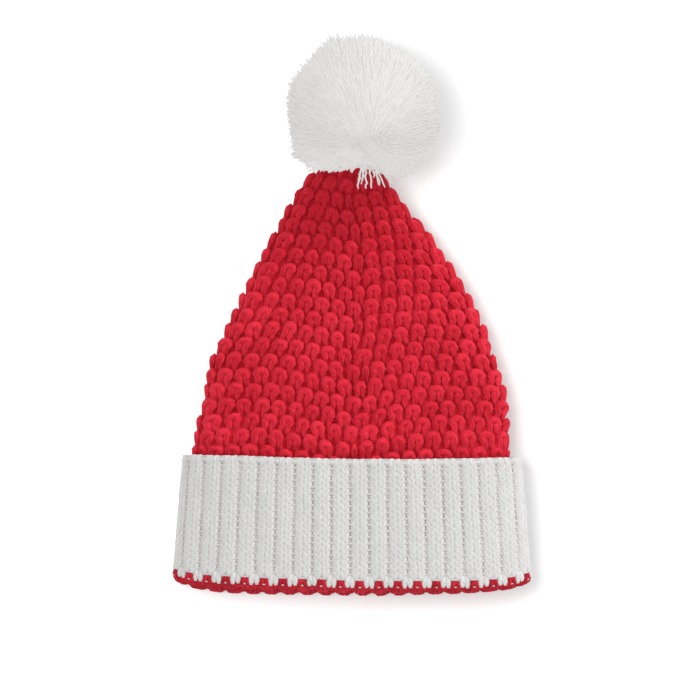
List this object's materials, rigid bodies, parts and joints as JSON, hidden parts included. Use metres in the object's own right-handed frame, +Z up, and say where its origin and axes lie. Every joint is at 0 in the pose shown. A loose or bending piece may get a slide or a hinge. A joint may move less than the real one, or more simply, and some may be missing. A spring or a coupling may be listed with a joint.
{
  "type": "knitted santa hat",
  "caption": "Chunky knitted santa hat lying flat: tapered red crown, white ribbed turn-up cuff over a red hem, and a white yarn pompom on the tip.",
  "frame": {"origin": "middle of the hat's footprint, on the surface that it lies on", "axes": "+Z up from the surface, +Y along the hat from the mouth to the pompom, +X to the right with the hat seen from above and its tip away from the viewer"},
  "size_m": [0.2192, 0.3412, 0.0844],
  "materials": {
    "red_knit": "matte chunky wool-blend yarn in tuck stitch",
    "white_rib_knit": "matte wool-blend yarn in rib stitch",
    "white_pompom_yarn": "fluffy cut yarn ends"
  },
  "bodies": {
    "root": {"crown": "red_knit", "cuff": "white_rib_knit", "pompom": "white_pompom_yarn"}
  },
  "joints": []
}
